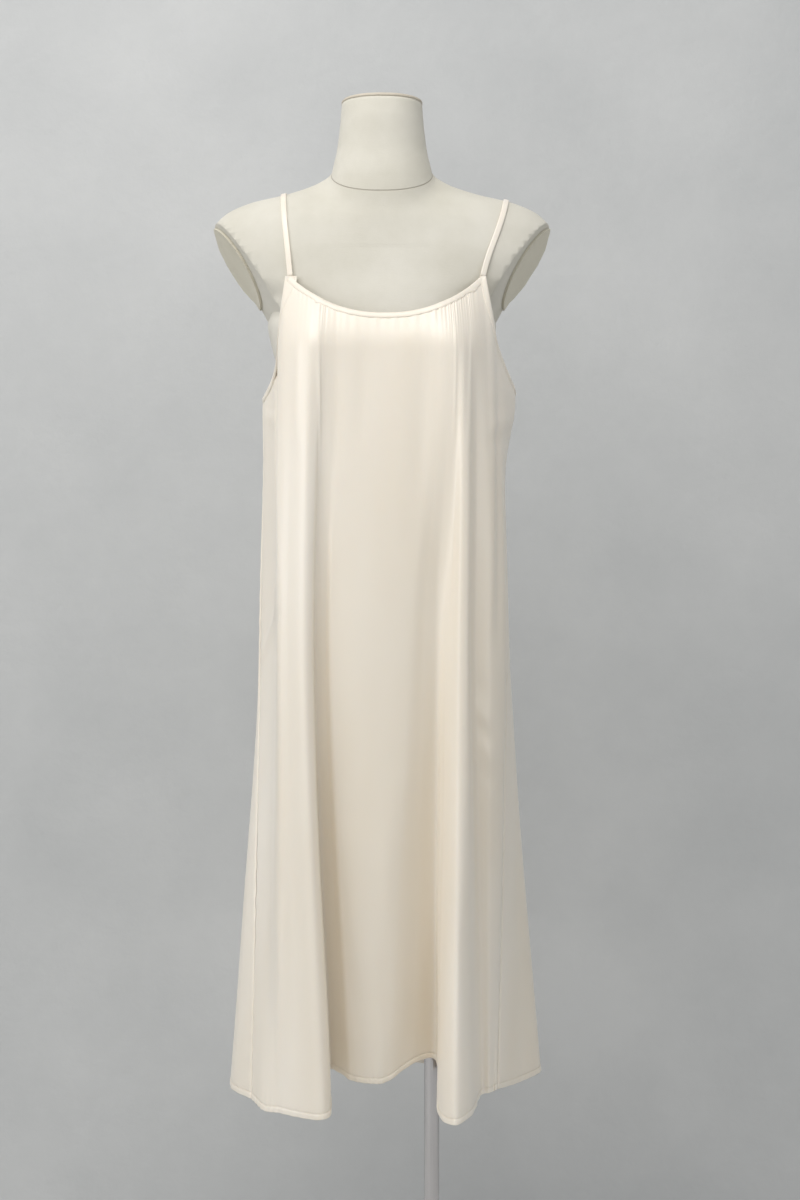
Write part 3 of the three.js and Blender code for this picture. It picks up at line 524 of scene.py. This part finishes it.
def over_shoulder(x, turn):
    inside, outside = np.zeros_like(turn), np.full_like(turn, 150.0)
    for _ in range(30):
        reach = (inside + outside) / 2
        y, z = -reach * np.cos(turn), STRAP_PIVOT + reach * np.sin(turn)
        within = (z < torso_sections.last) & (np.hypot(x, y) < form_reach(z, np.arctan2(x, -y)))
        inside, outside = np.where(within, reach, inside), np.where(within, outside, reach)
    return np.stack([x, -inside * np.cos(turn), STRAP_PIVOT + inside * np.sin(turn)], -1)


def strap(name, front, back, shoulder_x):
    """front and back are the middles of the bindings' ends."""
    turns = [math.atan2(p[2] - STRAP_PIVOT, -p[1]) for p in (front, back)]
    turns[1] += 2 * math.pi if turns[1] < 0 else 0
    place_x = Monotone([turns[0], math.pi / 2, turns[1]], [front[0], shoulder_x, back[0]])
    turn = np.linspace(turns[0], turns[1], 240)
    surface = over_shoulder(place_x(turn), turn)
    steps = np.concatenate([[0], np.cumsum(np.linalg.norm(np.diff(surface, axis=0), axis=1))])
    even = np.linspace(0, steps[-1], 110)
    turn = np.interp(even, steps, turn)
    x = place_x(turn)
    point = over_shoulder(x, turn)
    ahead = unit(np.gradient(point, axis=0))
    side = over_shoulder(x - 4, turn) - over_shoulder(x + 4, turn)
    side = unit(side - ahead * (side * ahead).sum(-1, keepdims=True))
    out = np.cross(ahead, side)
    resting = STRAP_LIFT + STRAP_THICKNESS / 2
    eased = lambda d: (1 - np.minimum(d / STRAP_SETTLES, 1)) ** 2
    lifts = [((p - point[k]) * out[k]).sum() for p, k in ((front, 0), (back, -1))]
    lift = resting + (lifts[0] - resting) * eased(even) + (lifts[1] - resting) * eased(even[-1] - even)
    centre = point + out * lift[:, None]
    for p, end, near in ((front, 0, even), (back, -1, even[-1] - even)):
        miss = p - centre[end]
        centre = centre + miss * np.exp(-near / 12)[:, None]
    outline = rounded(18, 2.8) * [STRAP_WIDTH / 2, STRAP_THICKNESS / 2]
    stations = centre[:, None] + side[:, None] * outline[None, :, :1] + out[:, None] * outline[None, :, 1:]
    return bar(name, stations)


# ------------------------------------------------------------------ materials

# the sockets of a Mix node that mixes colours
MIX_FACTOR, MIX_A, MIX_B, MIX_RESULT = 0, 6, 7, 2
SEAM_SHADE = (0.42, 0.38, 0.31, 1)


class Shader:
    """Short ways to build a node material."""

    def __init__(self, name, **constants):
        self.material = bpy.data.materials.new(name)
        self.material.use_nodes = True
        self.tree = self.material.node_tree
        self.bsdf = self.tree.nodes["Principled BSDF"]
        for socket, value in constants.items():
            self.bsdf.inputs[socket.replace("_", " ")].default_value = value

    def node(self, kind, links=None, **settings):
        node = self.tree.nodes.new(kind)
        for key, value in settings.items():
            if hasattr(node, key):
                setattr(node, key, value)
            else:
                node.inputs[key.replace("_", " ")].default_value = value
        for socket, source in (links or {}).items():
            self.tree.links.new(source, node.inputs[socket])
        return node

    def link(self, source, socket):
        self.tree.links.new(source, self.bsdf.inputs[socket])

    def coordinates(self, scale=(1, 1, 1)):
        where = self.node("ShaderNodeTexCoord").outputs["Object"]
        return self.node("ShaderNodeMapping", {"Vector": where}, Scale=scale).outputs["Vector"]

    def ramp(self, value, low, high, start=0.0, end=1.0):
        node = self.node("ShaderNodeValToRGB", {"Fac": value})
        node.color_ramp.elements[0].position, node.color_ramp.elements[0].color = start, (*low, 1)
        node.color_ramp.elements[1].position, node.color_ramp.elements[1].color = end, (*high, 1)
        return node.outputs["Color"]


def satin():
    s = Shader("satin", Roughness=0.36, IOR=1.48, Sheen_Weight=0.25, Sheen_Roughness=0.4)
    s.bsdf.inputs["Sheen Tint"].default_value = (1.0, 0.96, 0.9, 1)
    s.bsdf.inputs["Subsurface Weight"].default_value = 0.06
    s.bsdf.inputs["Subsurface Radius"].default_value = (0.004, 0.003, 0.002)
    wide = s.node("ShaderNodeTexNoise", {"Vector": s.coordinates((3, 3, 0.8))}, Scale=2.2, Detail=3.0)
    s.link(s.ramp(wide.outputs["Fac"], (0.83, 0.75, 0.625), (0.90, 0.84, 0.745), 0.3, 0.7), "Base Color")
    slub = s.node("ShaderNodeTexNoise", {"Vector": s.coordinates((1, 1, 0.12))}, Scale=420.0, Detail=2.0)
    twill = s.node("ShaderNodeTexNoise", {"Vector": s.coordinates((1, 1, 1))}, Scale=1500.0, Detail=1.0)
    first = s.node("ShaderNodeBump", {"Height": slub.outputs["Fac"]}, Strength=0.10, Distance=0.0006)
    second = s.node(
        "ShaderNodeBump", {"Height": twill.outputs["Fac"], "Normal": first.outputs["Normal"]},
        Strength=0.12, Distance=0.0003,
    )
    s.link(second.outputs["Normal"], "Normal")
    rough = s.node("ShaderNodeMapRange", {"Value": wide.outputs["Fac"]}, To_Min=0.29, To_Max=0.37)
    s.link(rough.outputs["Result"], "Roughness")
    return s.material


def linen(name, low, high, seams=()):
    s = Shader(name, Roughness=0.9, Sheen_Weight=0.15)
    where = s.node("ShaderNodeTexCoord").outputs["Object"]
    weave = []
    for direction in "XZ":
        wave = s.node(
            "ShaderNodeTexWave", {"Vector": where}, bands_direction=direction, Scale=420.0, Distortion=1.2
        )
        weave.append(wave.outputs["Fac"])
    cross = s.node("ShaderNodeMath", operation="MULTIPLY")
    s.tree.links.new(weave[0], cross.inputs[0])
    s.tree.links.new(weave[1], cross.inputs[1])
    patches = s.node("ShaderNodeTexNoise", {"Vector": where}, Scale=9.0, Detail=5.0, Roughness=0.6)
    colour = s.ramp(patches.outputs["Fac"], low, high, 0.3, 0.7)
    slub = s.node("ShaderNodeTexNoise", {"Vector": s.coordinates((1, 1, 6))}, Scale=180.0, Detail=2.0)
    height = s.node("ShaderNodeMath", operation="ADD")
    s.tree.links.new(cross.outputs[0], height.inputs[0])
    s.tree.links.new(slub.outputs["Fac"], height.inputs[1])
    bump = s.node("ShaderNodeBump", {"Height": height.outputs[0]}, Strength=0.35, Distance=0.0006)
    normal = bump.outputs["Normal"]
    for point, direction in seams:
        direction = Vector(direction).normalized()
        apart = s.node("ShaderNodeVectorMath", {0: where}, operation="SUBTRACT")
        apart.inputs[1].default_value = Vector(point) * MM
        dot = s.node("ShaderNodeVectorMath", {0: apart.outputs["Vector"]}, operation="DOT_PRODUCT")
        dot.inputs[1].default_value = direction
        size = s.node("ShaderNodeMath", {0: dot.outputs["Value"]}, operation="ABSOLUTE")
        line = s.node("ShaderNodeMapRange", {"Value": size.outputs[0]}, From_Min=0.0, From_Max=0.0009)
        shade = s.node("ShaderNodeMix", {MIX_FACTOR: line.outputs["Result"], MIX_B: colour}, data_type="RGBA")
        shade.inputs[MIX_A].default_value = SEAM_SHADE
        colour = shade.outputs[MIX_RESULT]
        groove = s.node(
            "ShaderNodeBump", {"Height": line.outputs["Result"], "Normal": normal},
            Strength=0.7, Distance=0.001,
        )
        normal = groove.outputs["Normal"]
    s.link(colour, "Base Color")
    s.link(normal, "Normal")
    return s.material


def metal(name, colour, rough, metallic=1.0, coat=0.0):
    s = Shader(name, Metallic=metallic, Coat_Weight=coat)
    smudge = s.node("ShaderNodeTexNoise", {"Vector": s.coordinates((1, 1, 0.2))}, Scale=40.0, Detail=4.0)
    low = tuple(c * 0.93 for c in colour)
    s.link(s.ramp(smudge.outputs["Fac"], low, colour, 0.3, 0.7), "Base Color")
    ranged = s.node(
        "ShaderNodeMapRange", {"Value": smudge.outputs["Fac"]}, To_Min=rough * 0.8, To_Max=rough * 1.3
    )
    s.link(ranged.outputs["Result"], "Roughness")
    fine = s.node("ShaderNodeTexNoise", {"Vector": s.coordinates()}, Scale=600.0)
    bump = s.node("ShaderNodeBump", {"Height": fine.outputs["Fac"]}, Strength=0.05, Distance=0.0003)
    s.link(bump.outputs["Normal"], "Normal")
    return s.material


def plaster(name, low, high):
    s = Shader(name, Roughness=0.95)
    cloud = s.node("ShaderNodeTexNoise", {"Vector": s.coordinates()}, Scale=1.3, Detail=8.0, Roughness=0.62)
    s.link(s.ramp(cloud.outputs["Fac"], low, high, 0.32, 0.68), "Base Color")
    grain = s.node("ShaderNodeTexNoise", {"Vector": s.coordinates()}, Scale=55.0, Detail=6.0)
    bump = s.node("ShaderNodeBump", {"Height": grain.outputs["Fac"]}, Strength=0.25, Distance=0.004)
    s.link(bump.outputs["Normal"], "Normal")
    return s.material


def seen_from_front_only(material):
    """The wall lets a camera behind it see through."""
    tree = material.node_tree
    shader = tree.nodes["Principled BSDF"]
    clear = tree.nodes.new("ShaderNodeBsdfTransparent")
    back = tree.nodes.new("ShaderNodeNewGeometry")
    both = tree.nodes.new("ShaderNodeMixShader")
    tree.links.new(back.outputs["Backfacing"], both.inputs[0])
    tree.links.new(shader.outputs["BSDF"], both.inputs[1])
    tree.links.new(clear.outputs["BSDF"], both.inputs[2])
    tree.links.new(both.outputs["Shader"], tree.nodes["Material Output"].inputs["Surface"])


def finish_with(obj, material):
    obj.data.materials.clear()
    obj.data.materials.append(material)
    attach(obj, "root")


# ------------------------------------------------------------------ the dress

SATIN = satin()
THREAD = metal("thread", (0.86, 0.80, 0.70), 0.6, metallic=0.0)

fine = 1.0
front = panel_object("front_panel", FRONT, int(230 * fine), int(46 * fine), int(120 * fine))
back = panel_object("back_panel", BACK, int(190 * fine), int(40 * fine), int(110 * fine))
finish_with(front, SATIN)
finish_with(back, SATIN)
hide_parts("dress_front")
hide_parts("dress_back")


def neck_edge(panel, count=110, inset=0.02):
    across = np.linspace(inset, 1 - inset, count)
    return panel.bodice(across, np.ones(count))


def arm_edge(down, up, count=46):
    shares = np.linspace(1, 0, count)
    first = down.armhole(shares, True)
    second = up.armhole(shares[::-1])
    lap = down.end - up.start
    return np.concatenate([first[0], second[0][1:] + lap]), np.concatenate([first[1], second[1][1:]])


edges = {
    "neck_front": neck_edge(FRONT),
    "neck_back": neck_edge(BACK),
    "arm_left": arm_edge(FRONT, BACK),
    "arm_right": arm_edge(BACK, FRONT),
}
CAD_NAMES = {
    "neck_front": "neck_binding_front",
    "neck_back": "neck_binding_back",
    "arm_left": "arm_binding_left",
    "arm_right": "arm_binding_right",
}
ends = {}
for name, (along, level) in edges.items():
    obj, (in_along, in_level) = binding("bound_" + name, along, level)
    finish_with(obj, SATIN)
    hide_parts(CAD_NAMES[name])
    middle = mix(along, in_along, 0.45), mix(level, in_level, 0.45)
    points = cloth(middle[0], middle[1], WALL / 2)
    ends[name] = points[0], points[-1]
    line = mix(along, in_along, 0.84), mix(level, in_level, 0.84)
    row = stitches("stitches_" + name, *line, 2.6, 1.9, 0.24, BINDING_THICKNESS / 2 - WALL / 2 - 0.1)
    finish_with(row, THREAD)

straps = {
    "left": strap("satin_strap_left", ends["arm_left"][0], ends["arm_left"][1], 155),
    "right": strap("satin_strap_right", ends["arm_right"][1], ends["arm_right"][0], -122),
}
for side, obj in straps.items():
    finish_with(obj, SATIN)
    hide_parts("strap_" + side)

for name, panel in (("front", FRONT), ("back", BACK)):
    across = np.linspace(0.004, 0.996, 900)
    along = mix(panel.start, panel.end, across)
    row = stitches("hem_stitches_" + name, along, np.full_like(along, HEM + HEM_WIDTH), 2.8, 2.1, 0.24, 0.0)
    finish_with(row, THREAD)

# ------------------------------------------------------------------ the form

form_linen = linen(
    "form_linen", (0.64, 0.61, 0.52), (0.74, 0.71, 0.63), [(NECK_SEAM_POINT, NECK_SEAM_NORMAL)]
)
plate_linen = linen("plate_linen", (0.64, 0.60, 0.48), (0.74, 0.70, 0.58))
cap_linen = linen("cap_linen", (0.58, 0.52, 0.42), (0.68, 0.62, 0.52))


def loft(name, heights, sections, sides=180):
    angle = np.arange(sides) / sides * 2 * np.pi
    rings = []
    for z in heights:
        reach = form_reach(np.full(sides, float(z)), angle, sections)
        rings.append(np.stack([reach * np.sin(angle), -reach * np.cos(angle), np.full(sides, z)], 1))
    rings[0] = rings[0] * [0.95, 0.95, 1]
    return bar(name, np.array(rings))


def cut(obj, point, normal):
    normal = Vector(normal).normalized()
    mesh = bmesh.new()
    mesh.from_mesh(obj.data)
    geometry = mesh.verts[:] + mesh.edges[:] + mesh.faces[:]
    result = bmesh.ops.bisect_plane(
        mesh, geom=geometry, plane_co=Vector(point) * MM, plane_no=normal, clear_outer=True
    )
    rim = [e for e in result["geom_cut"] if isinstance(e, bmesh.types.BMEdge)]
    filled = bmesh.ops.contextual_create(mesh, geom=rim)["faces"]
    for face in filled:
        face.smooth = False
    mesh.to_mesh(obj.data)
    mesh.free()


heights = np.concatenate([
    np.linspace(800, 806, 3), np.linspace(812, 1290, 60), np.linspace(1295, 1440, 50),
    np.linspace(1442, 1510, 50), np.linspace(1513, CAP_SEAM, 26),
])
shoulders = loft("form_cover", heights, torso_sections)
for side in (1, -1):
    cut(
        shoulders,
        (side * ARM_PLATE_POINT[0], *ARM_PLATE_POINT[1:]),
        (side * ARM_PLATE_NORMAL[0], *ARM_PLATE_NORMAL[1:]),
    )
sides_cover = loft("form_sides", heights[heights < 1345], inner_sections)
finish_with(shoulders, form_linen)
finish_with(sides_cover, form_linen)
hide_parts("form_torso", "form_neck")

# the cap's heights, and its share of the neck's reach at each
CAP_PROFILE = [
    (1588.4, 1.0), (1589.4, 1.012), (1590.8, 1.01), (1592, 0.985),
    (1593, 0.93), (1593.6, 0.8), (1594, 0.5), (1594.1, 0.1),
]
CAP_SIDES = 120
angle = np.arange(CAP_SIDES) / CAP_SIDES * 2 * np.pi
cap_rings = []
for z, share in CAP_PROFILE:
    reach = form_reach(np.full(CAP_SIDES, float(CAP_SEAM)), angle) * share
    cap_rings.append(np.stack([reach * np.sin(angle), -reach * np.cos(angle), np.full(CAP_SIDES, z)], 1))
cap = bar("neck_cap", np.array(cap_rings))
finish_with(cap, cap_linen)
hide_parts("form_neck_cap")

# ------------------------------------------------------------------ carried-over CAD nodes

CHROME = metal("polished_steel", (0.62, 0.60, 0.60), 0.12)
BASE_PAINT = metal("base_paint", (0.73, 0.71, 0.68), 0.4, metallic=0.0, coat=0.2)
for node, material in (
    ("form_arm_plate_left", plate_linen),
    ("form_arm_plate_right", plate_linen),
    ("pole", CHROME),
    ("pole_collar", CHROME),
    ("pole_flange", CHROME),
    ("base_plate", BASE_PAINT),
):
    obj = bpy.data.objects[node]
    obj.data.materials.clear()
    obj.data.materials.append(material)

# ------------------------------------------------------------------ stage, camera and light

WALL_Y, FLOOR_HALF = 0.62, 4.0


def flat(name, corners, material):
    mesh = bpy.data.meshes.new(name)
    mesh.from_pydata(corners, [], [(0, 1, 2, 3)])
    obj = bpy.data.objects.new(name, mesh)
    bpy.context.scene.collection.objects.link(obj)
    obj.data.materials.append(material)


wall = plaster("wall_plaster", (0.50, 0.51, 0.51), (0.62, 0.625, 0.62))
floor = plaster("floor_plaster", (0.60, 0.60, 0.59), (0.70, 0.70, 0.69))
s = FLOOR_HALF
flat("floor", [(-s, -s, 0), (s, -s, 0), (s, s, 0), (-s, s, 0)], floor)
seen_from_front_only(wall)
flat("wall", [(-s, WALL_Y, 0), (s, WALL_Y, 0), (s, WALL_Y, 4), (-s, WALL_Y, 4)], wall)

camera = bpy.data.cameras.new("camera")
camera.lens = 60
camera.sensor_width = 36
view = bpy.data.objects.new("camera", camera)
view.location = (0.0225, -2.5, 0.97)
view.rotation_euler = (math.pi / 2, 0, 0)
bpy.context.scene.collection.objects.link(view)
bpy.context.scene.camera = view


def area_light(name, place, target, size, power, colour):
    lamp = bpy.data.lights.new(name, "AREA")
    lamp.size, lamp.energy, lamp.color = size, power, colour
    obj = bpy.data.objects.new(name, lamp)
    obj.location = place
    obj.rotation_euler = (Vector(target) - Vector(place)).to_track_quat("-Z", "Y").to_euler()
    bpy.context.scene.collection.objects.link(obj)


area_light("overhead", (-0.5, -1.5, 3.2), (0, 0, 1.1), 1.6, 44, (1.0, 0.985, 0.96))
area_light("left_window", (-2.6, -1.8, 1.7), (0, 0, 0.9), 1.4, 25, (1.0, 0.99, 0.98))
area_light("right_fill", (2.6, -1.6, 1.3), (0, 0, 0.8), 1.8, 10, (1.0, 0.98, 0.95))

world = bpy.data.worlds.new("world")
bpy.context.scene.world = world
world.use_nodes = True
world.node_tree.nodes["Background"].inputs["Color"].default_value = (0.93, 0.96, 1.0, 1)
world.node_tree.nodes["Background"].inputs["Strength"].default_value = 0.40
bpy.context.scene.view_settings.view_transform = "Standard"
